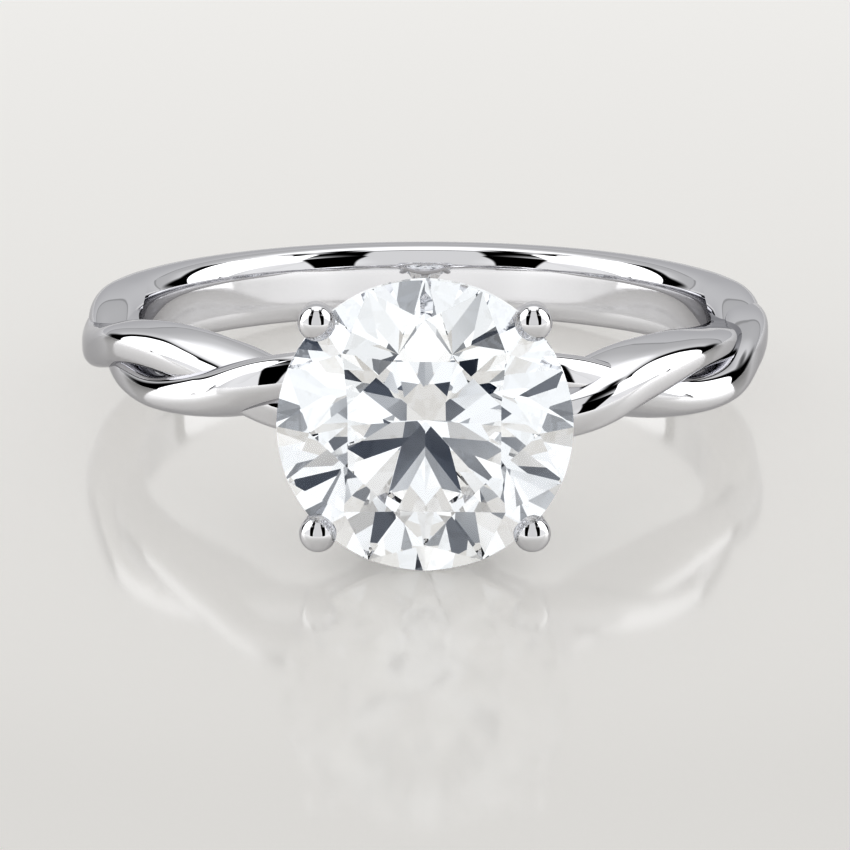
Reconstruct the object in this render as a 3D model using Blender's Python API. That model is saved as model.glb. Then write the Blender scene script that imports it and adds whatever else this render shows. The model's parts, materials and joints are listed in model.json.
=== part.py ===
"""Vine solitaire ring: a round brilliant held by four ball-tipped prongs on a
band whose shoulders are two crossing strands.

The model is made in the ring's own frame first: X to the right, -Y from the
finger's centre to the stone, Z along the finger. A parent empty then lays the
ring on its side, where it rests on the stone's edge and the back of the band.
"""

import math

import bmesh
import bpy
import numpy as np
from mathutils import Vector

# Sizes of the band, metres
FINGER_DIAMETER = 0.01730
BAND_THICKNESS = 0.00172
BAND_WIDTH = 0.00242
BAND_SQUARENESS = 2.7

# Sizes of the stone, metres and degrees
STONE_DIAMETER = 0.00792
TABLE_WIDTH = 0.00461
GIRDLE_THICKNESS = 0.00026
CROWN_ANGLE = 34.5
PAVILION_ANGLE = 40.8
STAR_LENGTH = 0.50
LOWER_HALF_LENGTH = 0.77
GIRDLE_SIDES = 48

# Sizes of the head, metres. The culet clears the finger hole by its clearance,
# and each ball reaches over the stone's edge by its overlap.
CULET_CLEARANCE = 0.00140
SEAT_GAP = 0.00015
BASE_RING_DIAMETER = 0.00440
BASE_RING_WIRE = 0.00112
PRONG_WIRE = 0.00080
BALL_DIAMETER = 0.00100
BALL_OVERLAP = 0.00040
BALL_LIFT = 0.00034

# Where the two strands of a shoulder become the plain band, degrees from the stone
SHOULDER_ANGLE = 108.0

# Numbers of sections and sides of the swept metal
BAND_STEPS = 60
BAND_SIDES = 18
STRAND_STEPS = 40
STRAND_SIDES = 14
WIRE_SIDES = 12
HOLE_SIDES = 120

# The strand that starts low at the head and crosses over the other one.
# along: share of the way from the base ring to the plain band. out: place of
# the centre, as a share of the band's thickness from the finger hole. up: place
# of the centre, as a share of half the band's width. deep and wide: the section,
# as shares of the band's thickness and width. lean: degrees that the section's
# long axis turns up from straight out.
STRAND_COLUMNS = ("along", "out", "up", "deep", "wide", "lean")
OVER_STRAND = (
    (0.00, 0.56, -0.80, 0.62, 0.44, -10),
    (0.14, 0.66, -0.34, 1.28, 0.54, -21),
    (0.26, 0.68, 0.17, 1.36, 0.51, -19),
    (0.39, 0.62, 0.55, 1.24, 0.50, -11),
    (0.51, 0.45, 0.48, 1.02, 0.50, 0),
    (0.63, 0.27, 0.21, 0.92, 0.50, 0),
    (0.75, 0.23, -0.01, 0.86, 0.50, 0),
    (0.88, 0.34, -0.04, 0.82, 0.56, 0),
    (1.00, 0.50, 0.00, 0.80, 0.60, 0),
)
# The strand that starts high, goes behind the first one and ends outermost.
UNDER_STRAND = (
    (0.00, 0.56, 0.72, 0.62, 0.44, 15),
    (0.14, 0.52, 0.21, 1.16, 0.55, 20),
    (0.26, 0.46, -0.26, 1.20, 0.52, 17),
    (0.39, 0.56, -0.57, 1.04, 0.49, 14),
    (0.51, 0.66, -0.52, 0.88, 0.48, 10),
    (0.63, 0.62, -0.12, 0.80, 0.52, 6),
    (0.75, 0.60, 0.14, 0.82, 0.56, 0),
    (0.88, 0.56, 0.10, 0.88, 0.62, 0),
    (1.00, 0.50, 0.00, 0.90, 0.66, 0),
)
# The plain band's ends run into the strands, smaller than the band itself.
# past: degrees past the angle where the strands become the band.
BAND_COLUMNS = ("past", "out", "deep", "wide")
BAND_END = (
    (-28, 0.42, 0.70, 0.46),
    (-18, 0.46, 0.90, 0.80),
    (-8, 0.49, 1.06, 0.97),
    (2, 0.50, 1.08, 1.00),
)

METAL_COLOUR = (0.79, 0.79, 0.80, 1.0)
STONE_COLOUR = (0.97, 0.98, 1.0, 1.0)

FINGER_RADIUS = FINGER_DIAMETER / 2
STONE_RADIUS = STONE_DIAMETER / 2
PAVILION_DEPTH = STONE_RADIUS * math.tan(math.radians(PAVILION_ANGLE))
GIRDLE_REACH = FINGER_RADIUS + CULET_CLEARANCE + PAVILION_DEPTH + GIRDLE_THICKNESS / 2
BALL_PLACE = STONE_RADIUS + BALL_DIAMETER / 2 - BALL_OVERLAP
BASE_REACH = FINGER_RADIUS + BAND_THICKNESS / 2
STONE_AXIS = Vector((0.0, -1.0, 0.0))


def clear_scene():
    """Remove every object of the open file."""
    for item in list(bpy.data.objects):
        bpy.data.objects.remove(item, do_unlink=True)


def make_material(name, colour, metallic, roughness):
    """Return a Principled material with its three main values set."""
    material = bpy.data.materials.new(name)
    material.use_nodes = True
    shader = material.node_tree.nodes["Principled BSDF"]
    shader.inputs["Base Color"].default_value = colour
    shader.inputs["Metallic"].default_value = metallic
    shader.inputs["Roughness"].default_value = roughness
    return material


def around_finger(angle, radius, height):
    """Return the point at an angle from the stone, in radians."""
    return Vector((radius * math.sin(angle), -radius * math.cos(angle), height))


def smooth_rows(rows, steps):
    """Return rows on a smooth curve through the rows of a table."""
    table = np.array(rows, dtype=float)
    padded = np.vstack([2 * table[0] - table[1], table, 2 * table[-1] - table[-2]])
    result = []
    for place in np.linspace(0, len(table) - 1, steps):
        index = min(int(place), len(table) - 2)
        t = place - index
        p0, p1, p2, p3 = padded[index:index + 4]
        bend = 2 * p0 - 5 * p1 + 4 * p2 - p3
        twist = 3 * p1 - p0 - 3 * p2 + p3
        result.append(0.5 * (2 * p1 + (p2 - p0) * t + bend * t ** 2 + twist * t ** 3))
    return result


def oval(half_out, half_side, squareness, sides):
    """Return the points of a rounded section as pairs (out, side)."""
    points = []
    for number in range(sides):
        turn = 2 * math.pi * (number + 0.5) / sides
        c, s = math.cos(turn), math.sin(turn)
        out = math.copysign(abs(c) ** (2 / squareness), c) * half_out
        side = math.copysign(abs(s) ** (2 / squareness), s) * half_side
        points.append((out, side))
    return points


def tube_mesh(rings, closed):
    """Return a bmesh skinned over rings of points, capped unless closed."""
    bm = bmesh.new()
    loops = [[bm.verts.new(point) for point in ring] for ring in rings]
    count = len(loops[0])
    pairs = list(zip(loops, loops[1:]))
    if closed:
        pairs.append((loops[-1], loops[0]))
    for first, second in pairs:
        for number in range(count):
            after = (number + 1) % count
            bm.faces.new((first[number], first[after], second[after], second[number]))
    if not closed:
        bm.faces.new(loops[0])
        bm.faces.new(list(reversed(loops[-1])))
    bmesh.ops.recalc_face_normals(bm, faces=bm.faces[:])
    return bm


def link_object(name, bm, material=None):
    """Turn a bmesh into an object of the scene."""
    mesh = bpy.data.meshes.new(name)
    bm.to_mesh(mesh)
    bm.free()
    if material:
        mesh.materials.append(material)
    item = bpy.data.objects.new(name, mesh)
    bpy.context.scene.collection.objects.link(item)
    return item


def swept_rings(centres, sections, leans):
    """Place each section across the path, its long side away from the finger."""
    rings = []
    for number, centre in enumerate(centres):
        before = centres[max(number - 1, 0)]
        after = centres[min(number + 1, len(centres) - 1)]
        forward = (after - before).normalized()
        radial = Vector((centre.x, centre.y, 0.0)).normalized()
        out = (radial - forward * radial.dot(forward)).normalized()
        side = forward.cross(out)
        if side.z < 0:
            side.negate()
        lean = leans[number]
        long_axis = out * math.cos(lean) + side * math.sin(lean)
        short_axis = side * math.cos(lean) - out * math.sin(lean)
        rings.append([centre + long_axis * a + short_axis * b for a, b in sections[number]])
    return rings


def strand_rings(rows, mirrored):
    """Return the sections of one vine strand, or of its half-turned copy."""
    centres, sections, leans = [], [], []
    start = math.asin(0.8 * BASE_RING_DIAMETER / 2 / BASE_REACH)
    end = math.radians(SHOULDER_ANGLE)
    for row in smooth_rows(rows, STRAND_STEPS):
        value = dict(zip(STRAND_COLUMNS, row))
        radius = FINGER_RADIUS + value["out"] * BAND_THICKNESS
        height = value["up"] * BAND_WIDTH / 2
        angle = start + value["along"] * (end - start)
        centres.append(around_finger(angle, radius, height))
        half_out = value["deep"] * BAND_THICKNESS / 2
        half_side = value["wide"] * BAND_WIDTH / 2
        sections.append(oval(half_out, half_side, 2.0, STRAND_SIDES))
        leans.append(math.radians(value["lean"]))
    rings = swept_rings(centres, sections, leans)
    if mirrored:
        rings = [[Vector((-p.x, p.y, -p.z)) for p in ring] for ring in rings]
    return rings


def band_rings():
    """Return the sections of the plain band, from shoulder to shoulder."""
    ends = [(SHOULDER_ANGLE + row[0],) + row[1:] for row in BAND_END]
    last = ends[-1]
    angles = np.linspace(last[0], 360 - last[0], 16)[1:-1]
    middle = [(angle,) + last[1:] for angle in angles]
    other_end = [(360 - row[0],) + row[1:] for row in reversed(ends)]
    rows = ends + middle + other_end
    centres, sections = [], []
    for row in smooth_rows(rows, BAND_STEPS):
        value = dict(zip(BAND_COLUMNS, row))
        radius = FINGER_RADIUS + value["out"] * BAND_THICKNESS
        centres.append(around_finger(math.radians(value["past"]), radius, 0.0))
        half_out = value["deep"] * BAND_THICKNESS / 2
        half_side = value["wide"] * BAND_WIDTH / 2
        sections.append(oval(half_out, half_side, BAND_SQUARENESS, BAND_SIDES))
    return swept_rings(centres, sections, [0.0] * len(centres))


def base_ring_rings():
    """Return the sections of the round wire that carries the prongs."""
    rings = []
    for number in range(32):
        turn = 2 * math.pi * number / 32
        out = Vector((math.cos(turn), 0.0, math.sin(turn)))
        centre = out * (BASE_RING_DIAMETER / 2) + STONE_AXIS * BASE_REACH
        section = oval(BASE_RING_WIRE / 2, BASE_RING_WIRE / 2, 2.0, 10)
        rings.append([centre + out * a + STONE_AXIS * b for a, b in section])
    return rings


def prong_path(corner):
    """Return the foot, the shoulder beside the girdle and the ball's centre."""
    turn = math.radians(45 + 90 * corner)
    out = Vector((math.cos(turn), 0.0, math.sin(turn)))
    foot = out * (BASE_RING_DIAMETER / 2) + STONE_AXIS * BASE_REACH
    beside = STONE_RADIUS + SEAT_GAP
    shoulder = out * beside + STONE_AXIS * (GIRDLE_REACH - GIRDLE_THICKNESS)
    ball_reach = GIRDLE_REACH + GIRDLE_THICKNESS / 2 + BALL_LIFT
    ball = out * BALL_PLACE + STONE_AXIS * ball_reach
    return foot, shoulder, ball


def prong_rings(corner):
    """Return the sections of one prong, from the base ring into its ball."""
    foot, shoulder, ball = prong_path(corner)
    across = Vector((foot.z, 0.0, -foot.x)).normalized()
    points = [foot.lerp(shoulder, t) for t in np.linspace(0, 1, 7)] + [ball]
    rings = []
    for number, point in enumerate(points):
        before = points[max(number - 1, 0)]
        after = points[min(number + 1, len(points) - 1)]
        forward = (after - before).normalized()
        out = across.cross(forward)
        half = PRONG_WIRE / 2
        rings.append([point + out * a + across * b for a, b in oval(half, half, 2.0, WIRE_SIDES)])
    return rings


def facet_plane(first, second, third):
    """Return a point and the outward normal of the plane of three points."""
    normal = (second - first).cross(third - first).normalized()
    if normal.dot(first) < 0:
        normal.negate()
    return first, normal


def stone_point(radius, azimuth, height):
    """Return a point of the stone; height runs from the girdle to the table."""
    turn = math.radians(azimuth)
    return Vector((radius * math.cos(turn), -height, radius * math.sin(turn)))


def brilliant_planes():
    """Return the facet planes of a round brilliant, girdle centre at zero."""
    crown_slope = math.tan(math.radians(CROWN_ANGLE))
    pavilion_slope = math.tan(math.radians(PAVILION_ANGLE))
    half_step = math.radians(22.5)
    rim = GIRDLE_THICKNESS / 2
    table_corner = TABLE_WIDTH / 2
    table_height = rim + (STONE_RADIUS - table_corner) * crown_slope
    table_side = table_corner * math.cos(half_step)
    star_tip = table_side + STAR_LENGTH * (STONE_RADIUS - table_side)
    star_height = rim + (STONE_RADIUS - star_tip * math.cos(half_step)) * crown_slope
    low_tip = (1 - LOWER_HALF_LENGTH) * STONE_RADIUS
    low_height = -rim - (STONE_RADIUS - low_tip * math.cos(half_step)) * pavilion_slope
    planes = [(Vector((0.0, -table_height, 0.0)), STONE_AXIS.copy())]
    for number in range(8):
        side = 45.0 * number
        kite = side + 22.5
        turn = math.radians(kite)
        out = Vector((math.cos(turn), 0.0, math.sin(turn)))
        for slope_angle, sign in ((CROWN_ANGLE, 1), (PAVILION_ANGLE, -1)):
            tilt = math.radians(slope_angle)
            normal = out * math.sin(tilt) + STONE_AXIS * (sign * math.cos(tilt))
            planes.append((stone_point(STONE_RADIUS, kite, sign * rim), normal))
        left = stone_point(table_corner, side - 22.5, table_height)
        right = stone_point(table_corner, side + 22.5, table_height)
        planes.append(facet_plane(left, right, stone_point(star_tip, side, star_height)))
        for turn_away in (-22.5, 22.5):
            for tip, height, sign in ((star_tip, star_height, 1), (low_tip, low_height, -1)):
                top = stone_point(tip, side, height)
                edge = stone_point(STONE_RADIUS, side, sign * rim)
                corner = stone_point(STONE_RADIUS, side + turn_away, sign * rim)
                planes.append(facet_plane(top, edge, corner))
    return planes


def brilliant_mesh(grow):
    """Return the cut stone as a bmesh, each face moved out by a clearance."""
    bm = bmesh.new()
    radius = STONE_RADIUS + grow
    rings = []
    for height in (-STONE_DIAMETER, STONE_DIAMETER):
        turns = [360.0 * (number + 0.5) / GIRDLE_SIDES for number in range(GIRDLE_SIDES)]
        rings.append([stone_point(radius, turn, height) for turn in turns])
    bm = tube_mesh(rings, closed=False)
    for point, normal in brilliant_planes():
        geometry = bm.verts[:] + bm.edges[:] + bm.faces[:]
        cut = bmesh.ops.bisect_plane(
            bm,
            geom=geometry,
            dist=1e-8,
            plane_co=point + normal * grow,
            plane_no=normal,
            clear_outer=True,
        )
        edges = [item for item in cut["geom_cut"] if isinstance(item, bmesh.types.BMEdge)]
        open_edges = [edge for edge in edges if edge.is_boundary]
        if open_edges:
            bmesh.ops.holes_fill(bm, edges=open_edges)
    bmesh.ops.remove_doubles(bm, verts=bm.verts[:], dist=2e-7)
    bmesh.ops.recalc_face_normals(bm, faces=bm.faces[:])
    bmesh.ops.translate(bm, verts=bm.verts[:], vec=STONE_AXIS * GIRDLE_REACH)
    return bm


def hole_mesh():
    """Return the finger hole as a cylinder longer than the band is wide."""
    rings = []
    for height in (-2 * BAND_WIDTH, 2 * BAND_WIDTH):
        turns = [2 * math.pi * number / HOLE_SIDES for number in range(HOLE_SIDES)]
        rings.append([around_finger(turn, FINGER_RADIUS, height) for turn in turns])
    return tube_mesh(rings, closed=False)


def make_helper(name, bm):
    """Make an object that only shapes another one."""
    helper = link_object(name, bm)
    helper.hide_render = True
    helper.display_type = "WIRE"
    return helper


def add_boolean(item, helper, operation):
    """Join a helper to an object, or cut it out."""
    modifier = item.modifiers.new(helper.name, "BOOLEAN")
    modifier.operation = operation
    modifier.solver = "EXACT"
    modifier.object = helper


def rest_pose(points):
    """Return the tilt, in radians, at which two ends of the ring touch down."""
    places = np.array(points)
    front = places[places[:, 1] < -FINGER_RADIUS]
    back = places[places[:, 1] > 0]
    low, high = 0.0, math.radians(40)
    for _ in range(60):
        tilt = (low + high) / 2
        front_low = (front[:, 2] * math.cos(tilt) - front[:, 1] * math.sin(tilt)).min()
        back_low = (back[:, 2] * math.cos(tilt) - back[:, 1] * math.sin(tilt)).min()
        if front_low < back_low:
            low = tilt
        else:
            high = tilt
    return tilt


def lay_down(parent, points):
    """Turn the parent to the rest pose, its box centred on the floor's origin."""
    tilt = rest_pose(points)
    places = np.array(points)
    depth = places[:, 1] * math.cos(tilt) + places[:, 2] * math.sin(tilt)
    height = places[:, 2] * math.cos(tilt) - places[:, 1] * math.sin(tilt)
    parent.rotation_euler = (-tilt, 0.0, 0.0)
    middle_x = (places[:, 0].min() + places[:, 0].max()) / 2
    parent.location = (-middle_x, -(depth.min() + depth.max()) / 2, -height.min())


def build():
    """Build the ring."""
    clear_scene()
    metal = make_material("polished white gold", METAL_COLOUR, 1.0, 0.08)
    stone_look = make_material("colourless cut stone", STONE_COLOUR, 0.0, 0.02)

    mount = link_object("ring_mount", tube_mesh(band_rings(), closed=False), metal)
    helpers = []
    for name, rows in (("over_strand", OVER_STRAND), ("under_strand", UNDER_STRAND)):
        for side, mirrored in (("right", False), ("left", True)):
            tube = tube_mesh(strand_rings(rows, mirrored), closed=False)
            helpers.append(make_helper(name + "_" + side, tube))
    helpers.append(make_helper("base_ring", tube_mesh(base_ring_rings(), closed=True)))
    for corner in range(4):
        tube = tube_mesh(prong_rings(corner), closed=False)
        helpers.append(make_helper("prong_" + str(corner + 1), tube))
        ball = bmesh.new()
        bmesh.ops.create_uvsphere(ball, u_segments=16, v_segments=10, radius=BALL_DIAMETER / 2)
        bmesh.ops.translate(ball, verts=ball.verts[:], vec=prong_path(corner)[2])
        helpers.append(make_helper("ball_" + str(corner + 1), ball))
    for helper in helpers:
        add_boolean(mount, helper, "UNION")
    hole = make_helper("finger_hole", hole_mesh())
    seat = make_helper("stone_seat", brilliant_mesh(SEAT_GAP))
    for cutter in (hole, seat):
        add_boolean(mount, cutter, "DIFFERENCE")

    stone = link_object("centre_stone", brilliant_mesh(0.0), stone_look)
    mount.data.shade_smooth()
    mount.data.set_sharp_from_angle(angle=math.radians(40))

    points = []
    for item in [mount, stone] + helpers:
        points.extend([tuple(vertex.co) for vertex in item.data.vertices])
    rest = bpy.data.objects.new("ring_rest", None)
    bpy.context.scene.collection.objects.link(rest)
    lay_down(rest, points)
    for item in [mount, stone, hole, seat] + helpers:
        item.parent = rest


build()
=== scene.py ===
import json
import math

import bmesh
import bpy
import numpy as np
from mathutils import Matrix, Vector


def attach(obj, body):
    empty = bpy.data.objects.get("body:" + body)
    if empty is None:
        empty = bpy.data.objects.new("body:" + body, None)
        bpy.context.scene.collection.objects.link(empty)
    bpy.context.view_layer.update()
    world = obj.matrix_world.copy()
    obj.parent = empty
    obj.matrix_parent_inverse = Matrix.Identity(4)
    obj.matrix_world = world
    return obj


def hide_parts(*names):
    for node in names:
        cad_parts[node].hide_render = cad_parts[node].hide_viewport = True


# The look of a vine solitaire ring that lies on its side. Lengths are in metres. Shapes are
# worked out in the ring's own frame first: X to the right, -Y from the finger's centre to the
# stone, Z along the finger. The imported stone's table says how that frame lies on the floor.

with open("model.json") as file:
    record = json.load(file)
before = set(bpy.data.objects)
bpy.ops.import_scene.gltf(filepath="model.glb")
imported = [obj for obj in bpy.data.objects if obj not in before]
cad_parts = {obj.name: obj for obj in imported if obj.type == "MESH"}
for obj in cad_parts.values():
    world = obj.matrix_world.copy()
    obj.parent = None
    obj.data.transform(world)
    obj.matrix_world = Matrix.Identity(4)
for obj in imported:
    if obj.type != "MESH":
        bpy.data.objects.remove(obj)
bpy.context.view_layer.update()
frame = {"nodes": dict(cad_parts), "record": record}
print("frame loaded with", ", ".join(sorted(frame["nodes"])))

# Band, stone and head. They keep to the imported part's sizes, but the stone's girdle, table and
# angles, the balls and the shoulders below follow the photograph a little more closely.
band = {
    "fingerDiameter": 0.01730,
    "thickness": 0.00172,
    "width": 0.00242,
    "squareness": 2.7,       # of the plain band's section, where 2 is an oval
    "shoulderAngle": 108.0,  # degrees from the stone, where the strands become the band
    "floorLift": 0.000016,   # brings the finer shapes back onto the floor
    "plainRows": 16,         # along the plain part, which the smooth curve runs through
    "steps": 220,
    "sides": 56,
}
bore = {
    "fall": 0.00045,         # how far the finger hole's wall falls away at the band's sides
    "roundness": 5.5,        # and how late, where 2 is an even arc
    "from": 0.25,            # of the band's half width, where the wall starts to fall
    "to": 0.92,
    "rows": 24,
    "reach": 2,              # band widths that the cutter goes to each side
    "sides": 360,
    "creaseAngle": 30.0,     # degrees, above which an edge stays sharp
}
stone = {
    "diameter": 0.00793,
    "tableWidth": 0.00438,
    "girdle": 0.00038,
    "crownAngle": 34.9,
    "pavilionAngle": 40.6,
    "mains": 8,                 # and as many kites and stars
    "starShare": 0.525,
    "lowerHalfShare": 0.77,
    "seatTilt": (0.6, -0.7),    # degrees that the stone is set off true, nodding and to the side
    "girdleSides": 96,
    "culetClearance": 0.00140,  # from the finger hole to the stone's point
    "prouder": 0.00020,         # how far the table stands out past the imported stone's
}
head = {
    "baseRingDiameter": 0.00440,
    "baseRingWire": 0.00112,
    "prongs": 4,
    "prongWire": 0.00080,
    "prongClearance": 0.00015,    # from the girdle to the middle of a prong's bend
    "ballDiameter": 0.00100,
    "ballOverlap": 0.00041,       # how far a ball reaches over the stone's edge
    "ballLift": 0.00024,
    "seatGap": 0.00002,
}
# metres within which points are one, and the shortest direction that is scaled to a full one
tolerance = {"sweptWeld": 1e-7, "stoneCut": 1e-8, "stoneWeld": 2e-7, "shortest": 1e-9}
fingerRadius = band["fingerDiameter"] / 2
stoneRadius = stone["diameter"] / 2
crownSlope = math.tan(math.radians(stone["crownAngle"]))
pavilionSlope = math.tan(math.radians(stone["pavilionAngle"]))
crownHeight = (stoneRadius - stone["tableWidth"] / 2) * crownSlope
girdleReach = fingerRadius + stone["culetClearance"] + stoneRadius * pavilionSlope + stone["girdle"] / 2
tableReach = girdleReach + stone["girdle"] / 2 + crownHeight
baseReach = fingerRadius + band["thickness"] / 2
stoneAxis = Vector((0.0, -1.0, 0.0))
prongWay = Vector((1.0, 0.0, 1.0)).normalized()

tableMount = frame["record"]["mounts"][0]
tableNormal = Vector(tableMount["axis"]).normalized()
sideways = Vector((1.0, 0.0, 0.0))
ringTurn = Matrix((sideways, -tableNormal, sideways.cross(-tableNormal)))
ringPlace = Vector(tableMount["pos_m"]) - tableNormal * (tableReach - stone["prouder"])
ringPlace.z += band["floorLift"]
ringToWorld = Matrix.Translation(ringPlace) @ ringTurn.transposed().to_4x4()


def linearColour(hexText):
    # a screen colour, as light
    channels = [int(hexText[place:place + 2], 16) / 255 for place in (1, 3, 5)]
    linear = [c / 12.92 if c <= 0.04045 else ((c + 0.055) / 1.055) ** 2.4 for c in channels]
    return (*linear, 1.0)


def addNode(tree, kind, settings=None, links=None):
    # a link is a socket name or number with either another node's output or a plain value
    node = tree.nodes.new(kind)
    for name, value in (settings or {}).items():
        setattr(node, name, value)
    for name, value in (links or {}).items():
        if isinstance(value, bpy.types.NodeSocket):
            tree.links.new(value, node.inputs[name])
        else:
            node.inputs[name].default_value = value
    return node


def addObject(name, data):
    item = bpy.data.objects.new(name, data)
    bpy.context.scene.collection.objects.link(item)
    return item


def newMaterial(name, values):
    material = bpy.data.materials.new(name)
    material.use_nodes = True
    shader = material.node_tree.nodes["Principled BSDF"]
    for socket, value in values.items():
        isColour = isinstance(value, str)
        shader.inputs[socket].default_value = linearColour(value) if isColour else value
    return material, material.node_tree, shader


metalLook = {
    "colour": "#e6e6e8",
    "rim": "#d4d4d6",        # a little darker than the metal's own rim
    "wearScale": 900.0,      # worn patches of about a millimetre
    "wearDetail": 3.0,
    "wearFrom": 0.35,
    "wearTo": 0.7,
    "smoothest": 0.012,
    "roughest": 0.03,
}


def whiteGoldMaterial():
    # 14 carat white gold, mirror polished and rhodium plated: a bright neutral mirror whose
    # hairlines, left by the last cloth, only soften the edges of what it reflects
    material, tree, shader = newMaterial("polishedRhodiumWhiteGold", {
        "Base Color": metalLook["colour"], "Metallic": 1.0, "Specular Tint": metalLook["rim"]})
    place = addNode(tree, "ShaderNodeTexCoord").outputs["Object"]
    wear = addNode(tree, "ShaderNodeTexNoise", {}, {
        "Vector": place, "Scale": metalLook["wearScale"], "Detail": metalLook["wearDetail"]})
    gloss = addNode(tree, "ShaderNodeMapRange", {}, {
        "Value": wear.outputs["Fac"], "From Min": metalLook["wearFrom"], "From Max": metalLook["wearTo"],
        "To Min": metalLook["smoothest"], "To Max": metalLook["roughest"]})
    tree.links.new(gloss.outputs["Result"], shader.inputs["Roughness"])
    return material


def cutStoneMaterial():
    # cut and polished diamond: clear, light strongly bent and the surface's own glare held down,
    # so that the dark facets inside stay dark
    return newMaterial("polishedCutDiamond", {
        "Base Color": "#ffffff", "Roughness": 0.0, "IOR": 2.417, "Transmission Weight": 1.0,
        "Specular Tint": "#959ba6"})[0]


def floorMaterial():
    # honed pale marble: even and light, with a soft weak reflection, and a painted glow: a weak even
    # emission all over it that keeps the shadows on it pale
    return newMaterial("honedPaleMarble", {
        "Base Color": "#efedea", "Roughness": 0.10, "Emission Color": "#fffefb",
        "Emission Strength": 0.30})[0]


metal = whiteGoldMaterial()
diamond = cutStoneMaterial()
floorStone = floorMaterial()
print("materials made")

# The strand that starts low at the head and crosses over the other one. along: share of the
# way from the base ring to the plain band. out: place of the centre, in band thicknesses from
# the finger hole. up: place of the centre, in half band widths. deep and wide: the section, in
# band thicknesses and widths. lean: degrees that its long axis turns up from straight out.
strandColumns = ("along", "out", "up", "deep", "wide", "lean")
overStrand = (
    (0.00, 0.84, -0.80, 0.62, 0.44, -10),
    (0.14, 0.80, -0.26, 1.34, 0.57, -14),
    (0.26, 0.66, 0.24, 1.30, 0.56, -12),
    (0.39, 0.56, 0.48, 1.10, 0.45, -7),
    (0.51, 0.42, 0.38, 0.96, 0.43, 0),
    (0.63, 0.27, 0.17, 0.90, 0.46, 0),
    (0.75, 0.23, -0.01, 0.86, 0.50, 0),
    (0.88, 0.34, -0.04, 0.82, 0.56, 0),
    (1.00, 0.50, 0.00, 0.80, 0.60, 0),
)
# The strand that starts high, goes behind the first one and ends outermost.
underStrand = (
    (0.00, 0.74, 0.72, 0.62, 0.44, 15),
    (0.14, 0.57, 0.21, 1.16, 0.55, 20),
    (0.26, 0.46, -0.26, 1.20, 0.52, 17),
    (0.39, 0.56, -0.57, 1.04, 0.49, 14),
    (0.51, 0.66, -0.52, 0.88, 0.48, 10),
    (0.63, 0.62, -0.12, 0.80, 0.52, 6),
    (0.75, 0.60, 0.14, 0.82, 0.56, 0),
    (0.88, 0.56, 0.10, 0.88, 0.62, 0),
    (1.00, 0.50, 0.00, 0.90, 0.66, 0),
)
# The plain band's ends: degrees past the shoulder's angle, then out, deep and wide as above.
bandEnd = (
    (-28, 0.42, 0.70, 0.46),
    (-18, 0.46, 0.92, 0.80),
    (-8, 0.48, 1.09, 0.97),
    (2, 0.48, 1.12, 1.00),
)
strand = {
    "startShare": 0.8,       # of the base ring's radius, where the strands start inside its wire
    "noseLength": 0.08,      # share of the way over which the start is rounded off
    "noseFullness": 0.95,    # where 1 is a round end that closes in a point
    "squareness": 2.8,
    "copies": 2,
    "steps": 170,
    "sides": 44,
}
wire = {"squareness": 2.0, "steps": 24, "sides": 28, "ringSteps": 96, "ballSegments": 48}


def aroundFinger(angle, radius, height):
    return Vector((radius * math.sin(angle), -radius * math.cos(angle), height))


def smoothRows(rows, steps):
    # rows on a smooth curve through the rows of a table
    table = np.array(rows, dtype=float)
    padded = np.vstack([2 * table[0] - table[1], table, 2 * table[-1] - table[-2]])
    result = []
    for place in np.linspace(0, len(table) - 1, steps):
        index = min(int(place), len(table) - 2)
        t = place - index
        p0, p1, p2, p3 = padded[index:index + 4]
        bend = 2 * p0 - 5 * p1 + 4 * p2 - p3
        twist = 3 * p1 - p0 - 3 * p2 + p3
        result.append(0.5 * (2 * p1 + (p2 - p0) * t + bend * t ** 2 + twist * t ** 3))
    return result


def pathObject(name, centres, halfOuts, halfSides, leans, outwards, closed=False):
    # a line of points that carries the two half axes of the section at each point
    count = len(centres)
    edges = [(number, number + 1) for number in range(count - 1)]
    if closed:
        edges.append((count - 1, 0))
    mesh = bpy.data.meshes.new(name)
    mesh.from_pydata([tuple(centre) for centre in centres], edges, [])
    longAxes, shortAxes = [], []
    for number in range(count):
        before = centres[number - 1] if closed else centres[max(number - 1, 0)]
        after = centres[(number + 1) % count] if closed else centres[min(number + 1, count - 1)]
        forward = (after - before).normalized()
        outward = outwards[number]
        out = (outward - forward * outward.dot(forward)).normalized()
        side = forward.cross(out)
        if side.z < 0 and not closed:
            side.negate()
        lean = leans[number]
        longAxes.append((out * math.cos(lean) + side * math.sin(lean)) * halfOuts[number])
        shortAxes.append((side * math.cos(lean) - out * math.sin(lean)) * halfSides[number])
    for attributeName, values in (("place", centres), ("longAxis", longAxes), ("shortAxis", shortAxes)):
        attribute = mesh.attributes.new(attributeName, "FLOAT_VECTOR", "POINT")
        attribute.data.foreach_set("vector", np.array(values, dtype=np.float32).ravel())
    return addObject(name, mesh)


def strandPath(name, rows):
    centres, halfOuts, halfSides, leans, outwards = [], [], [], [], []
    start = math.asin(strand["startShare"] * head["baseRingDiameter"] / 2 / baseReach)
    end = math.radians(band["shoulderAngle"])
    for row in smoothRows(rows, strand["steps"]):
        value = dict(zip(strandColumns, row))
        radius = fingerRadius + value["out"] * band["thickness"]
        height = value["up"] * band["width"] / 2
        centre = aroundFinger(start + value["along"] * (end - start), radius, height)
        centres.append(centre)
        # the start is a rounded nose that sinks into the base ring
        left = max(0.0, 1 - value["along"] / strand["noseLength"])
        slim = math.sqrt(1 - strand["noseFullness"] * left ** 2)
        halfOuts.append(slim * value["deep"] * band["thickness"] / 2)
        halfSides.append(slim * value["wide"] * band["width"] / 2)
        leans.append(math.radians(value["lean"]))
        outwards.append(Vector((centre.x, centre.y, 0.0)).normalized())
    return pathObject(name, centres, halfOuts, halfSides, leans, outwards)


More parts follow.
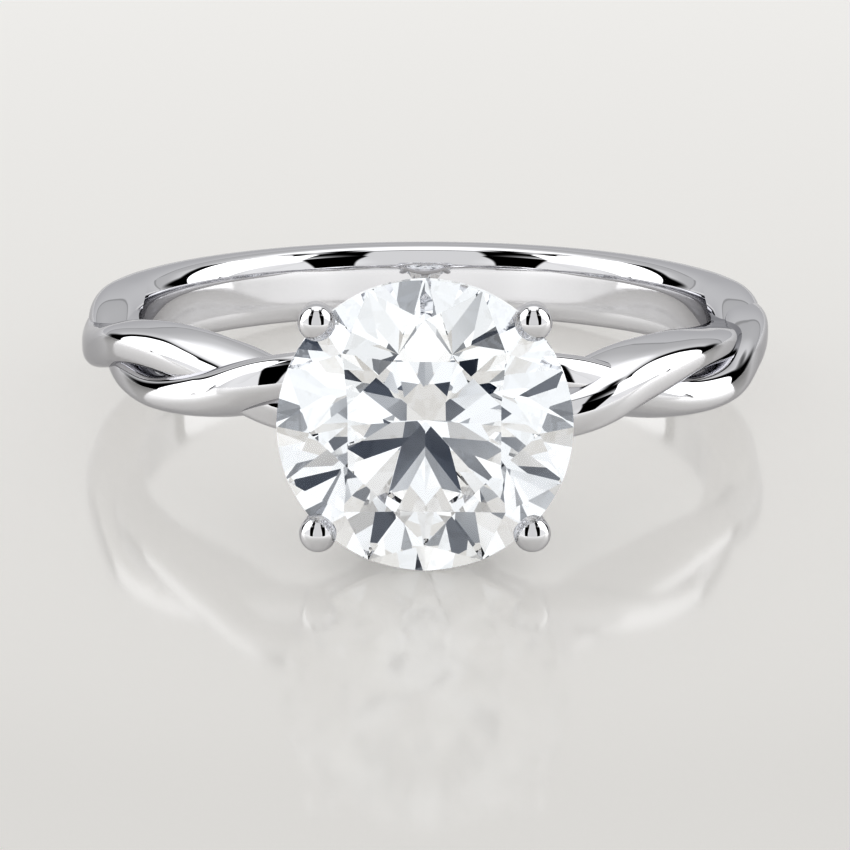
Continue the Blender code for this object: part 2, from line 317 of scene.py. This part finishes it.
def bandPath():
    ends = [(band["shoulderAngle"] + row[0],) + row[1:] for row in bandEnd]
    last = ends[-1]
    angles = np.linspace(last[0], 360 - last[0], band["plainRows"])[1:-1]
    middle = [(angle,) + last[1:] for angle in angles]
    otherEnd = [(360 - row[0],) + row[1:] for row in reversed(ends)]
    centres, halfOuts, halfSides, outwards = [], [], [], []
    for row in smoothRows(ends + middle + otherEnd, band["steps"]):
        degrees, out, deep, wide = row
        angle = math.radians(degrees)
        centres.append(aroundFinger(angle, fingerRadius + out * band["thickness"], 0.0))
        halfOuts.append(deep * band["thickness"] / 2)
        halfSides.append(wide * band["width"] / 2)
        outwards.append(aroundFinger(angle, 1.0, 0.0))
    return pathObject("bandBody", centres, halfOuts, halfSides, [0.0] * len(centres), outwards)


def baseRingPath():
    turns = [2 * math.pi * number / wire["ringSteps"] for number in range(wire["ringSteps"])]
    outwards = [Vector((math.cos(turn), 0.0, math.sin(turn))) for turn in turns]
    centres = [out * head["baseRingDiameter"] / 2 + stoneAxis * baseReach for out in outwards]
    halves = [head["baseRingWire"] / 2] * len(turns)
    return pathObject("baseRing", centres, halves, halves, [0.0] * len(turns), outwards, closed=True)


def prongPoints():
    # foot on the base ring, shoulder beside the girdle, and the ball's centre
    foot = prongWay * head["baseRingDiameter"] / 2 + stoneAxis * baseReach
    shoulderPlace = stoneRadius + head["prongClearance"]
    shoulder = prongWay * shoulderPlace + stoneAxis * (girdleReach - stone["girdle"])
    ballPlace = stoneRadius + head["ballDiameter"] / 2 - head["ballOverlap"]
    ball = prongWay * ballPlace + stoneAxis * (girdleReach + stone["girdle"] / 2 + head["ballLift"])
    return foot, shoulder, ball


def prongPath():
    foot, shoulder, ball = prongPoints()
    centres = [foot.lerp(shoulder, t) for t in np.linspace(0, 1, wire["steps"])] + [ball]
    count = len(centres)
    halves = [head["prongWire"] / 2] * count
    return pathObject("prongWires", centres, halves, halves, [0.0] * count, [prongWay] * count)


def newGeometryTree(name, inputs):
    tree = bpy.data.node_groups.new(name, "GeometryNodeTree")
    tree.interface.new_socket("Geometry", in_out="INPUT", socket_type="NodeSocketGeometry")
    for socketName, kind, value in inputs:
        socket = tree.interface.new_socket(socketName, in_out="INPUT", socket_type="NodeSocket" + kind)
        if value is not None:
            socket.default_value = value
    tree.interface.new_socket("Geometry", in_out="OUTPUT", socket_type="NodeSocketGeometry")
    return tree, tree.nodes.new("NodeGroupInput").outputs


def finishTree(tree, shape, group):
    # turned copies about the stone's axis, all in the metal
    step = addNode(tree, "ShaderNodeMath", {"operation": "DIVIDE"}, {
        0: 2 * math.pi, 1: group["Copies"]})
    number = addNode(tree, "GeometryNodeInputIndex")
    turn = addNode(tree, "ShaderNodeMath", {"operation": "MULTIPLY"}, {
        0: number.outputs[0], 1: step.outputs[0]})
    euler = addNode(tree, "ShaderNodeCombineXYZ", {}, {"Y": turn.outputs[0]})
    spots = addNode(tree, "GeometryNodeMeshLine", {}, {
        "Count": group["Copies"], "Offset": (0.0, 0.0, 0.0)})
    copies = addNode(tree, "GeometryNodeInstanceOnPoints", {}, {
        "Points": spots.outputs[0], "Instance": shape, "Rotation": euler.outputs[0]})
    real = addNode(tree, "GeometryNodeRealizeInstances", {}, {"Geometry": copies.outputs[0]})
    coated = addNode(tree, "GeometryNodeSetMaterial", {}, {
        "Geometry": real.outputs[0], "Material": group["Metal"]})
    addNode(tree, "NodeGroupOutput", {}, {0: coated.outputs[0]})


def sweepTree():
    # skins a rounded section along a path whose points carry the section's half axes
    tree, group = newGeometryTree("sweptMetal", [
        ("Sides", "Int", 24), ("Squareness", "Float", 2.0), ("Copies", "Int", 1),
        ("Metal", "Material", None)])
    line = addNode(tree, "GeometryNodeMeshToCurve", {}, {"Mesh": group["Geometry"]})
    circle = addNode(tree, "GeometryNodeCurvePrimitiveCircle", {}, {
        "Resolution": group["Sides"], "Radius": 1.0})
    spot = addNode(tree, "GeometryNodeInputPosition")
    kept = addNode(tree, "GeometryNodeStoreNamedAttribute", {"data_type": "FLOAT_VECTOR"}, {
        "Geometry": circle.outputs[0], "Name": "spot", "Value": spot.outputs[0]})
    tube = addNode(tree, "GeometryNodeCurveToMesh", {}, {
        "Curve": line.outputs[0], "Profile Curve": kept.outputs[0], "Fill Caps": True})
    read = {}
    for name in ("spot", "place", "longAxis", "shortAxis"):
        read[name] = addNode(tree, "GeometryNodeInputNamedAttribute", {
            "data_type": "FLOAT_VECTOR"}, {"Name": name}).outputs[0]
    power = addNode(tree, "ShaderNodeMath", {"operation": "DIVIDE"}, {
        0: 2.0, 1: group["Squareness"]})
    size = addNode(tree, "ShaderNodeVectorMath", {"operation": "ABSOLUTE"}, {0: read["spot"]})
    rounded = addNode(tree, "ShaderNodeVectorMath", {"operation": "POWER"}, {
        0: size.outputs[0], 1: power.outputs[0]})
    way = addNode(tree, "ShaderNodeVectorMath", {"operation": "SIGN"}, {0: read["spot"]})
    share = addNode(tree, "ShaderNodeVectorMath", {"operation": "MULTIPLY"}, {
        0: rounded.outputs[0], 1: way.outputs[0]})
    part = addNode(tree, "ShaderNodeSeparateXYZ", {}, {0: share.outputs[0]})
    long = addNode(tree, "ShaderNodeVectorMath", {"operation": "SCALE"}, {
        0: read["longAxis"], "Scale": part.outputs["X"]})
    short = addNode(tree, "ShaderNodeVectorMath", {"operation": "SCALE"}, {
        0: read["shortAxis"], "Scale": part.outputs["Y"]})
    across = addNode(tree, "ShaderNodeVectorMath", {"operation": "ADD"}, {
        0: long.outputs[0], 1: short.outputs[0]})
    whole = addNode(tree, "ShaderNodeVectorMath", {"operation": "ADD"}, {
        0: read["place"], 1: across.outputs[0]})
    moved = addNode(tree, "GeometryNodeSetPosition", {}, {
        "Geometry": tube.outputs[0], "Position": whole.outputs[0]})
    finishTree(tree, moved.outputs[0], group)
    return tree


def ballTree():
    # one ball, at its named place, and its turned copies
    tree, group = newGeometryTree("ballTips", [
        ("Diameter", "Float", 0.001), ("Place", "Vector", None), ("Segments", "Int", 32),
        ("Copies", "Int", 4), ("Metal", "Material", None)])
    radius = addNode(tree, "ShaderNodeMath", {"operation": "DIVIDE"}, {
        0: group["Diameter"], 1: 2.0})
    rings = addNode(tree, "ShaderNodeMath", {"operation": "DIVIDE"}, {
        0: group["Segments"], 1: 2.0})
    ball = addNode(tree, "GeometryNodeMeshUVSphere", {}, {
        "Segments": group["Segments"], "Rings": rings.outputs[0], "Radius": radius.outputs[0]})
    placed = addNode(tree, "GeometryNodeTransform", {}, {
        "Geometry": ball.outputs[0], "Translation": group["Place"]})
    finishTree(tree, placed.outputs[0], group)
    return tree


def runTree(item, tree, values):
    # the inputs go in by their sockets' identifiers, then the result becomes a plain mesh
    modifier = item.modifiers.new(tree.name, "NODES")
    modifier.node_group = tree
    sockets = {s.name: s.identifier for s in tree.interface.items_tree if s.in_out == "INPUT"}
    for name, value in values.items():
        modifier[sockets[name]] = value
    bakeMesh(item)


def bakeMesh(item):
    graph = bpy.context.evaluated_depsgraph_get()
    mesh = bpy.data.meshes.new_from_object(
        item.evaluated_get(graph), preserve_all_data_layers=True, depsgraph=graph)
    item.modifiers.clear()
    item.data = mesh


def facingOut(item):
    # the sweep can wind its faces either way round, so they are turned to face out
    bm = bmesh.new()
    bm.from_mesh(item.data)
    bmesh.ops.remove_doubles(bm, verts=bm.verts[:], dist=tolerance["sweptWeld"])
    bmesh.ops.recalc_face_normals(bm, faces=bm.faces[:])
    bm.to_mesh(item.data)
    bm.free()


def facetPlane(first, second, third):
    normal = (second - first).cross(third - first).normalized()
    if normal.dot(first) < 0:
        normal.negate()
    return first, normal


def stonePoint(radius, azimuth, height):
    turn = math.radians(azimuth)
    return Vector((radius * math.cos(turn), -height, radius * math.sin(turn)))


def brilliantPlanes():
    # table, then 8 kites, 8 stars, 16 upper halves, 8 mains and 16 lower halves
    step = 360 / stone["mains"]
    halfStep = step / 2
    sideShare = math.cos(math.radians(halfStep))
    rim = stone["girdle"] / 2
    tableCorner = stone["tableWidth"] / 2
    tableHeight = rim + crownHeight
    tableSide = tableCorner * sideShare
    starTip = tableSide + stone["starShare"] * (stoneRadius - tableSide)
    starHeight = rim + (stoneRadius - starTip * sideShare) * crownSlope
    lowTip = (1 - stone["lowerHalfShare"]) * stoneRadius
    lowHeight = -rim - (stoneRadius - lowTip * sideShare) * pavilionSlope
    planes = [(Vector((0.0, -tableHeight, 0.0)), stoneAxis.copy())]
    for number in range(stone["mains"]):
        side = step * number
        kite = side + halfStep
        turn = math.radians(kite)
        out = Vector((math.cos(turn), 0.0, math.sin(turn)))
        for slopeAngle, sign in ((stone["crownAngle"], 1), (stone["pavilionAngle"], -1)):
            tilt = math.radians(slopeAngle)
            normal = out * math.sin(tilt) + stoneAxis * (sign * math.cos(tilt))
            planes.append((stonePoint(stoneRadius, kite, sign * rim), normal))
        left = stonePoint(tableCorner, side - halfStep, tableHeight)
        right = stonePoint(tableCorner, side + halfStep, tableHeight)
        planes.append(facetPlane(left, right, stonePoint(starTip, side, starHeight)))
        for turnAway in (-halfStep, halfStep):
            for tip, height, sign in ((starTip, starHeight, 1), (lowTip, lowHeight, -1)):
                top = stonePoint(tip, side, height)
                edge = stonePoint(stoneRadius, side, sign * rim)
                corner = stonePoint(stoneRadius, side + turnAway, sign * rim)
                planes.append(facetPlane(top, edge, corner))
    return planes


def cutStone(name, grow):
    # a round bar, cut by each facet's plane moved out by the growth
    bm = bmesh.new()
    bmesh.ops.create_cone(
        bm, cap_ends=True, segments=stone["girdleSides"], radius1=stoneRadius + grow,
        radius2=stoneRadius + grow, depth=2 * stone["diameter"])
    halfSide = Matrix.Rotation(math.pi / stone["girdleSides"], 4, "Y")
    lying = Matrix.Rotation(math.pi / 2, 4, "X")
    bmesh.ops.transform(bm, matrix=halfSide @ lying, verts=bm.verts[:])
    for point, normal in brilliantPlanes():
        cut = bmesh.ops.bisect_plane(
            bm, geom=bm.verts[:] + bm.edges[:] + bm.faces[:], dist=tolerance["stoneCut"],
            plane_co=point + normal * grow, plane_no=normal, clear_outer=True)
        edges = [part for part in cut["geom_cut"] if isinstance(part, bmesh.types.BMEdge)]
        rim = [edge for edge in edges if edge.is_boundary]
        if rim:
            bmesh.ops.holes_fill(bm, edges=rim)
    bmesh.ops.remove_doubles(bm, verts=bm.verts[:], dist=tolerance["stoneWeld"])
    bmesh.ops.recalc_face_normals(bm, faces=bm.faces[:])
    nod, sway = (math.radians(angle) for angle in stone["seatTilt"])
    offTrue = Matrix.Rotation(nod, 4, "X") @ Matrix.Rotation(sway, 4, "Z")
    bmesh.ops.transform(bm, matrix=offTrue, verts=bm.verts[:])
    bmesh.ops.translate(bm, verts=bm.verts[:], vec=stoneAxis * girdleReach)
    mesh = bpy.data.meshes.new(name)
    bm.to_mesh(mesh)
    bm.free()
    return addObject(name, mesh)


def boreProfile():
    # nearly straight in the middle, falling away to the sides, as height and radius
    profile = []
    for share in np.linspace(bore["from"], bore["to"], bore["rows"]):
        fall = bore["fall"] * share ** bore["roundness"]
        profile.append((share * band["width"] / 2, fingerRadius + fall))
    profile.append((bore["reach"] * band["width"], profile[-1][1]))
    return [(-height, radius) for height, radius in reversed(profile)] + profile


def boreObject():
    # what is cut out for the finger
    profile = boreProfile()
    sides = bore["sides"]
    turns = [2 * math.pi * number / sides for number in range(sides)]
    points = [(r * math.cos(turn), r * math.sin(turn), height) for height, r in profile for turn in turns]
    faces = [tuple(range(sides)), tuple(range(len(points) - sides, len(points)))]
    for ring in range(len(profile) - 1):
        for number in range(sides):
            first, second = ring * sides + number, ring * sides + (number + 1) % sides
            faces.append((first, second, second + sides, first + sides))
    bm = bmesh.new()
    corners = [bm.verts.new(point) for point in points]
    for face in faces:
        bm.faces.new([corners[number] for number in face]).smooth = True
    bmesh.ops.recalc_face_normals(bm, faces=bm.faces[:])
    for edge in bm.edges:
        edge.smooth = edge.calc_face_angle() < math.radians(bore["creaseAngle"])
    mesh = bpy.data.meshes.new("fingerBore")
    bm.to_mesh(mesh)
    bm.free()
    return addObject("fingerBore", mesh)


def storePolish(item, smooth, sign):
    # each corner's own direction, which the joins and cuts hand on to the finished piece
    mesh = item.data
    mesh.polygons.foreach_set("use_smooth", [smooth] * len(mesh.polygons))
    normals = np.zeros(len(mesh.loops) * 3, dtype=np.float32)
    mesh.corner_normals.foreach_get("vector", normals)
    attribute = mesh.attributes.new("polish", "FLOAT_VECTOR", "CORNER")
    attribute.data.foreach_set("vector", normals * sign)


def usePolish(item):
    # the stored directions become the finished piece's own
    mesh = item.data
    polish = np.zeros(len(mesh.loops) * 3, dtype=np.float32)
    mesh.attributes["polish"].data.foreach_get("vector", polish)
    mesh.polygons.foreach_set("use_smooth", [True] * len(mesh.polygons))
    polish = polish.reshape(-1, 3)
    polish /= np.maximum(np.linalg.norm(polish, axis=1, keepdims=True), tolerance["shortest"])
    mesh.attributes.remove(mesh.attributes["polish"])
    mesh.normals_split_custom_set(polish.tolist())


def mountShapes():
    # the band's body first, then all that is joined to it
    sweep = sweepTree()
    swept = (
        (bandPath(), band, 1),
        (strandPath("overStrands", overStrand), strand, strand["copies"]),
        (strandPath("underStrands", underStrand), strand, strand["copies"]),
        (baseRingPath(), wire, 1),
        (prongPath(), wire, head["prongs"]),
    )
    for item, section, copies in swept:
        runTree(item, sweep, {
            "Sides": section["sides"], "Squareness": section["squareness"], "Copies": copies,
            "Metal": metal})
    balls = addObject("ballTips", bpy.data.meshes.new("ballTips"))
    runTree(balls, ballTree(), {
        "Diameter": head["ballDiameter"], "Place": prongPoints()[2],
        "Segments": wire["ballSegments"], "Copies": head["prongs"], "Metal": metal})
    shapes = [row[0] for row in swept] + [balls]
    for item in shapes:
        facingOut(item)
        storePolish(item, True, 1.0)
    return shapes


def mountCutters():
    # the finger hole, and the stone's own shape with a little room around it
    cutters = [boreObject(), cutStone("stoneSeat", head["seatGap"])]
    for cutter, smooth in zip(cutters, (True, False)):
        cutter.data.materials.append(metal)
        storePolish(cutter, smooth, -1.0)
    return cutters


def ringMount():
    mount, *joined = mountShapes()
    cutters = mountCutters()
    for tool in joined + cutters:
        modifier = mount.modifiers.new(tool.name, "BOOLEAN")
        modifier.operation = "DIFFERENCE" if tool in cutters else "UNION"
        modifier.solver = "EXACT"
        modifier.object = tool
    bakeMesh(mount)
    for tool in joined + cutters:
        bpy.data.objects.remove(tool, do_unlink=True)
    usePolish(mount)
    mount.name = "ringMount"
    return mount


def placePiece(item, slotName, *nodes):
    item.data.transform(ringToWorld)
    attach(item, "root")
    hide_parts(*nodes)


mount = ringMount()
placePiece(mount, "polished_white_gold", "ring_mount")
print("mount made with", len(mount.data.polygons), "faces")

gem = cutStone("centreStone", 0.0)
gem.data.materials.append(diamond)
placePiece(gem, "colourless_cut_stone", "centre_stone")
print("stone cut with", len(gem.data.polygons), "facets")

stage = {"floorHalfSize": 1.5}


def makeFloor():
    half = stage["floorHalfSize"]
    corners = [(-half, -half, 0), (half, -half, 0), (half, half, 0), (-half, half, 0)]
    mesh = bpy.data.meshes.new("floor")
    mesh.from_pydata(corners, [], [(0, 1, 2, 3)])
    mesh.materials.append(floorStone)
    floor = addObject("floor", mesh)


# The camera looks at the stone's centre, from a little above the plane of the ring.
view = {
    "downAngle": 12.06,      # degrees between the line of sight and the ring's own plane
    "distance": 0.1099,      # along the line of sight to the depth of the finger's centre
    "aimReach": 0.0136,      # from the finger's centre to the point in the picture's middle
    "pixelsPerMetre": 32900.0,
    "framePixels": 850,
    "sensor": 36.0,
    "nearest": 0.001,        # what the camera shows, from and to
    "farthest": 20.0,
}


def makeCamera():
    down = math.radians(view["downAngle"])
    forward = Vector((0.0, math.cos(down), -math.sin(down)))
    toStone = view["distance"] - view["aimReach"] * math.cos(down)
    place = ringToWorld @ (stoneAxis * view["aimReach"] - forward * toStone)
    sight = ringToWorld.to_3x3() @ forward
    data = bpy.data.cameras.new("camera")
    data.sensor_width = view["sensor"]
    data.lens = view["pixelsPerMetre"] * view["distance"] / view["framePixels"] * view["sensor"]
    data.clip_start = view["nearest"]
    data.clip_end = view["farthest"]
    camera = addObject("camera", data)
    camera.location = place
    camera.rotation_euler = sight.to_track_quat("-Z", "Y").to_euler()
    bpy.context.scene.camera = camera


# The light around the ring is charted in degrees: x to the side, y to the back or up, away from
# straight up for the studio and from straight ahead, towards the camera, for the stone's front.
# Each card lies over the ones before it.
cardColumns = ("x", "y", "turn", "halfX", "halfY", "corner", "soft", "value")
studioCards = (
    (0, 16, 0, 80, 50, 12, 1.0, 0.55),      # thin dark edge of the overhead panel
    (0, 16, 0, 79, 48.6, 11, 1.0, 0.74),    # overhead panel
    (0, 12, 0, 90, 38, 14, 14, 0.92),       # and its brighter middle
    (0, -40, 0, 30, 41, 4, 2.0, 0.90),      # front wall between the side boxes
    (0, 24, 0, 18, 20, 6, 8, 1.4),          # bright strip along the panel's middle
    (0, 1.5, 0, 24, 1.0, 1.0, 1.0, 0.0),    # seam between the panel and the front wall
    (62, 25, 0, 40, 19, 10, 4.0, 0.0),      # dark frame of a side box
    (32, -14, 18, 15, 21, 2, 2.0, 0.0),     # dark flag at its front corner
    (17, 7, 18, 4, 8, 4, 7, 0.0),           # and the flag's soft upper end
    (74, 42, -20, 20, 13, 6, 12, 0.0),      # dark corner behind the side box
    (60, 22, 0, 35, 15, 12, 0.8, 2.0),      # side box
    (56, 3, 38, 25, 22, 4, 1.0, 2.0),       # its slanted front corner
    (72, -40, 0, 40, 28, 4, 24, 1.10),      # and its dimmer front
)
# The foot of the flag, beside the front wall. Only a first reflection shows it, because the
# floor would carry it on into the band's inner wall.
flagFoot = (44, -50, 27, 12.5, 30, 3, 2.0, 0.0)
# What the stone's facets pick out in front: a bright wall with the camera, its stand and dark
# gear about it. The value is a share, from the dark blue of the gear to the wall's cool white.
frontCards = (
    (0, 20, 0, 48, 44, 30, 16, 0.82),       # grey part of the wall
    (-25, 30, 0, 12, 20, 8, 8, 0.94),
    (30, 50, 0, 16, 10, 8, 8, 0.94),
    (13, 13, 25, 5, 8, 4, 5, 0.15),         # camera and stand
    (20, 9, 20, 3, 6, 2, 2, 0.08),
    (3, 6, 20, 4, 5, 2, 4, 0.08),
    (-9, 8, -30, 4, 4, 2, 4, 0.02),
    (-21, 1, 0, 4, 7, 2, 2, 0.40),
    (-37, 20, 12, 4, 12, 4, 2, 0.0),        # dark gear to the left
    (-42, 36, 0, 6, 4, 3, 3, 0.25),
    (-46, 26, 12, 3, 5, 2, 2, 0.40),
    (-41, 48, 0, 4, 4, 2, 2, 0.25),
    (-21, 48, 0, 3, 3, 2, 2, 0.30),
    (7, 36, 20, 3, 5, 2, 2, 0.35),
    (12, 28, 0, 3, 3, 2, 2, 0.15),
    (32, 13, 0, 3, 3, 2, 2, 0.35),          # and to the right
    (26, 14, 0, 2, 6, 2, 2, 0.35),
    (45, 4, 0, 4, 4, 3, 3, 0.20),
    (0, 60, 0, 5, 3, 2, 2, 0.35),           # fittings above
    (6, 72, 0, 3, 7, 2, 2, 0.25),
    (-7, 69, 0, 4, 7, 3, 3, 0.30),
    (17, 73, 0, 5, 5, 4, 3, 0.0),
    (48, 72, 0, 5, 4, 3, 3, 0.25),
    (-57, 52, 0, 4, 4, 3, 3, 0.20),         # and at the far left
    (-59, 0, 0, 4, 6, 4, 3, 0.05),
    (-48, 3, 0, 4, 3, 2, 2, 0.30),
    (-75, 34, 0, 4, 5, 3, 3, 0.0),
    (-73, 14, 0, 4, 4, 3, 3, 0.05),
)
wallLight = {
    "studio": 0.88,
    "floor": 0.52,       # even light from the whole room on the floor
    "backdrop": 0.88,
    "front": 1.0,        # share of white in the wall that the stone sees
    "frontDark": (0.002, 0.010, 0.028, 1.0),    # light, so it is no screen colour
    "frontWhite": (1.15, 1.18, 1.21, 1.0),
}
# A light path's depths are whole numbers, so these lie between them.
depthLimit = {"none": 0.5, "first": 1.5}


def chartAround(tree, axis, side, height):
    # degrees away from an axis, as a flat map with the side across and the height up it
    fromAxis = addNode(tree, "ShaderNodeMath", {"operation": "ARCCOSINE"}, {0: axis})
    degrees = addNode(tree, "ShaderNodeMath", {"operation": "DEGREES"}, {0: fromAxis.outputs[0]})
    flat = addNode(tree, "ShaderNodeCombineXYZ", {}, {"X": side, "Y": height})
    unit = addNode(tree, "ShaderNodeVectorMath", {"operation": "NORMALIZE"}, {0: flat.outputs[0]})
    chart = addNode(tree, "ShaderNodeVectorMath", {"operation": "SCALE"}, {
        0: unit.outputs[0], "Scale": degrees.outputs[0]})
    return chart.outputs[0]


def cardMask(tree, chart, card):
    # how far outside a rectangle with round corners a direction lies, turned to 0 to 1
    middle = addNode(tree, "ShaderNodeMapping", {"vector_type": "TEXTURE"}, {
        "Vector": chart, "Location": (card["x"], card["y"], 0.0),
        "Rotation": (0.0, 0.0, math.radians(card["turn"]))})
    size = addNode(tree, "ShaderNodeVectorMath", {"operation": "ABSOLUTE"}, {0: middle.outputs[0]})
    inner = (card["halfX"] - card["corner"], card["halfY"] - card["corner"], 0.0)
    past = addNode(tree, "ShaderNodeVectorMath", {"operation": "SUBTRACT"}, {
        0: size.outputs[0], 1: inner})
    outside = addNode(tree, "ShaderNodeVectorMath", {"operation": "MAXIMUM"}, {
        0: past.outputs[0], 1: (0.0, 0.0, 0.0)})
    far = addNode(tree, "ShaderNodeVectorMath", {"operation": "LENGTH"}, {0: outside.outputs[0]})
    mask = addNode(tree, "ShaderNodeMapRange", {"interpolation_type": "SMOOTHSTEP"}, {
        "Value": far.outputs["Value"], "From Min": card["corner"] + card["soft"] / 2,
        "From Max": card["corner"] - card["soft"] / 2, "To Min": 0.0, "To Max": 1.0})
    return mask.outputs["Result"]


def layCards(tree, chart, cards, wall):
    level = addNode(tree, "ShaderNodeValue").outputs[0]
    level.default_value = wall
    for row in cards:
        card = dict(zip(cardColumns, row))
        level = addNode(tree, "ShaderNodeMix", {"data_type": "FLOAT"}, {
            "Factor": cardMask(tree, chart, card), "A": level, "B": card["value"]}).outputs["Result"]
    return level


def studioLight(tree, part, path):
    # both sides are alike, and the flag's foot is laid on last
    across = addNode(tree, "ShaderNodeMath", {"operation": "ABSOLUTE"}, {0: part["X"]})
    chart = chartAround(tree, part["Z"], across.outputs[0], part["Y"])
    studio = layCards(tree, chart, studioCards, wallLight["studio"])
    foot = dict(zip(cardColumns, flagFoot))
    direct = addNode(tree, "ShaderNodeMath", {"operation": "LESS_THAN"}, {
        0: path["Glossy Depth"], 1: depthLimit["first"]})
    footShare = addNode(tree, "ShaderNodeMath", {"operation": "MULTIPLY"}, {
        0: cardMask(tree, chart, foot), 1: direct.outputs[0]})
    return addNode(tree, "ShaderNodeMix", {"data_type": "FLOAT"}, {
        "Factor": footShare.outputs[0], "A": studio, "B": foot["value"]}).outputs["Result"]


def frontLight(tree, part):
    ahead = addNode(tree, "ShaderNodeMath", {"operation": "MULTIPLY"}, {0: part["Y"], 1: -1.0})
    chart = chartAround(tree, ahead.outputs[0], part["X"], part["Z"])
    front = layCards(tree, chart, frontCards, wallLight["front"])
    return addNode(tree, "ShaderNodeMix", {"data_type": "RGBA"}, {
        "Factor": front, "A": wallLight["frontDark"], "B": wallLight["frontWhite"]}).outputs["Result"]


def makeWorld():
    # the metal sees the studio, the floor and the backdrop an even light, and what has gone
    # through the stone the wall in front
    world = bpy.data.worlds.new("softStudio")
    world.use_nodes = True
    tree = world.node_tree
    way = addNode(tree, "ShaderNodeTexCoord").outputs["Generated"]
    part = addNode(tree, "ShaderNodeSeparateXYZ", {}, {0: way}).outputs
    path = addNode(tree, "ShaderNodeLightPath").outputs
    through = addNode(tree, "ShaderNodeMath", {"operation": "GREATER_THAN"}, {
        0: path["Transmission Depth"], 1: depthLimit["none"]})
    scattered = addNode(tree, "ShaderNodeMath", {"operation": "GREATER_THAN"}, {
        0: path["Diffuse Depth"], 1: depthLimit["none"]})
    fromStone = addNode(tree, "ShaderNodeMath", {"operation": "SUBTRACT", "use_clamp": True}, {
        0: through.outputs[0], 1: scattered.outputs[0]})
    room = addNode(tree, "ShaderNodeMix", {"data_type": "FLOAT"}, {
        "Factor": scattered.outputs[0], "A": studioLight(tree, part, path), "B": wallLight["floor"]})
    level = addNode(tree, "ShaderNodeMix", {"data_type": "FLOAT"}, {
        "Factor": path["Is Camera Ray"], "A": room.outputs["Result"], "B": wallLight["backdrop"]})
    colour = addNode(tree, "ShaderNodeMix", {"data_type": "RGBA"}, {
        "Factor": fromStone.outputs[0], "A": level.outputs["Result"], "B": frontLight(tree, part)})
    tree.links.new(colour.outputs["Result"], tree.nodes["Background"].inputs["Color"])
    world.cycles.sampling_method = "NONE"
    bpy.context.scene.world = world


picture = {
    "gamma": 0.75,           # the photograph's hard contrast
    "bounces": 24,           # enough for the light's way through the stone
    "glossyBounces": 12,
}


def setPicture():
    scene = bpy.context.scene
    scene.view_settings.view_transform = "Standard"
    scene.view_settings.gamma = picture["gamma"]
    scene.cycles.max_bounces = picture["bounces"]
    scene.cycles.transmission_bounces = picture["bounces"]
    scene.cycles.glossy_bounces = picture["glossyBounces"]


makeFloor()
makeCamera()
makeWorld()
setPicture()
print("stage and camera made")
